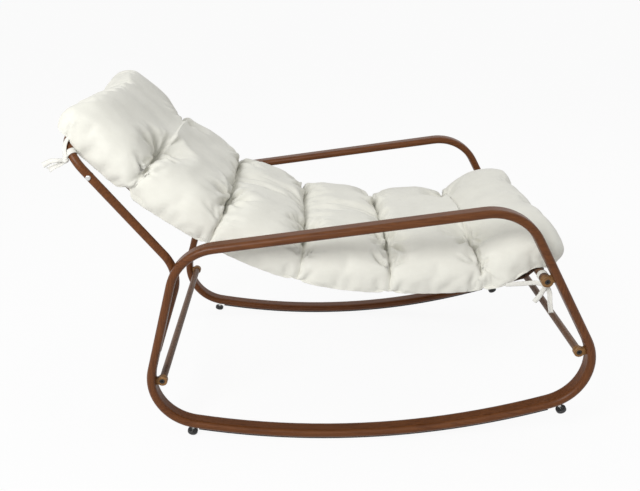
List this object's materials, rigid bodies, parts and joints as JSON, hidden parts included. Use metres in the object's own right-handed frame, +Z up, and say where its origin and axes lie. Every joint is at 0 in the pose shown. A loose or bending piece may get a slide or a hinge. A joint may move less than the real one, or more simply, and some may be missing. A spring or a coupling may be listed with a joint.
{
  "type": "rocking chaise lounge",
  "caption": "Rocking chaise lounge: two closed tube loops form legs, armrests and rockers, with a sling between them and a long channelled cushion tied on.",
  "frame": {"origin": "on the floor, midway between the rockers, where their rubber strips touch it with the chaise level", "axes": "+X from the head end to the foot end, +Y to the sitter's left, +Z up"},
  "size_m": [1.2721, 0.67, 0.8359],
  "materials": {
    "frame_paint": "satin walnut-brown powder coat",
    "rubber": "matt black",
    "foot_plastic": "matt black",
    "zinc_steel": "bright zinc",
    "black_steel": "black oxide",
    "sling_cloth": "matt woven mesh cloth",
    "cushion_cloth": "matt off-white woven cloth",
    "tie_cloth": "matt off-white woven tape"
  },
  "bodies": {
    "frame": {"right_side_loop": "frame_paint", "right_back_upright": "frame_paint", "right_rear_lug": "frame_paint", "right_front_lug": "frame_paint", "right_seat_lug": "frame_paint", "right_rocker_strip": "rubber", "right_head_tie": "tie_cloth", "right_front_tie": "tie_cloth", "left_side_loop": "frame_paint", "left_back_upright": "frame_paint", "left_rear_lug": "frame_paint", "left_front_lug": "frame_paint", "left_seat_lug": "frame_paint", "left_rocker_strip": "rubber", "left_head_tie": "tie_cloth", "left_front_tie": "tie_cloth", "head_rail": "frame_paint", "rear_crossbar": "frame_paint", "front_crossbar": "frame_paint", "seat_rail": "frame_paint", "crossbar_bolts": "black_steel", "crossbar_inserts": "zinc_steel", "seat_rail_inserts": "zinc_steel", "head_rail_bolts": "zinc_steel", "head_rail_nuts": "zinc_steel", "foot_inserts": "zinc_steel", "upright_end_plugs": "foot_plastic", "sling": "sling_cloth", "cushion": "cushion_cloth"},
    "rear_right_foot": {"rear_right_foot_pad": "foot_plastic", "rear_right_foot_stem": "zinc_steel"},
    "rear_left_foot": {"rear_left_foot_pad": "foot_plastic", "rear_left_foot_stem": "zinc_steel"},
    "front_right_foot": {"front_right_foot_pad": "foot_plastic", "front_right_foot_stem": "zinc_steel"},
    "front_left_foot": {"front_left_foot_pad": "foot_plastic", "front_left_foot_stem": "zinc_steel"}
  },
  "joints": [
    {"name": "rear_right_foot_screw", "type": "slide", "parent": "frame", "child": "rear_right_foot", "axis": [-0.1959, 0, -0.9806], "range_m": [-0.008, 0.004]},
    {"name": "rear_left_foot_screw", "type": "slide", "parent": "frame", "child": "rear_left_foot", "axis": [-0.1959, 0, -0.9806], "range_m": [-0.008, 0.004]},
    {"name": "front_right_foot_screw", "type": "slide", "parent": "frame", "child": "front_right_foot", "axis": [0.4555, 0, -0.8902], "range_m": [-0.008, 0.004]},
    {"name": "front_left_foot_screw", "type": "slide", "parent": "frame", "child": "front_left_foot", "axis": [0.4555, 0, -0.8902], "range_m": [-0.008, 0.004]}
  ]
}
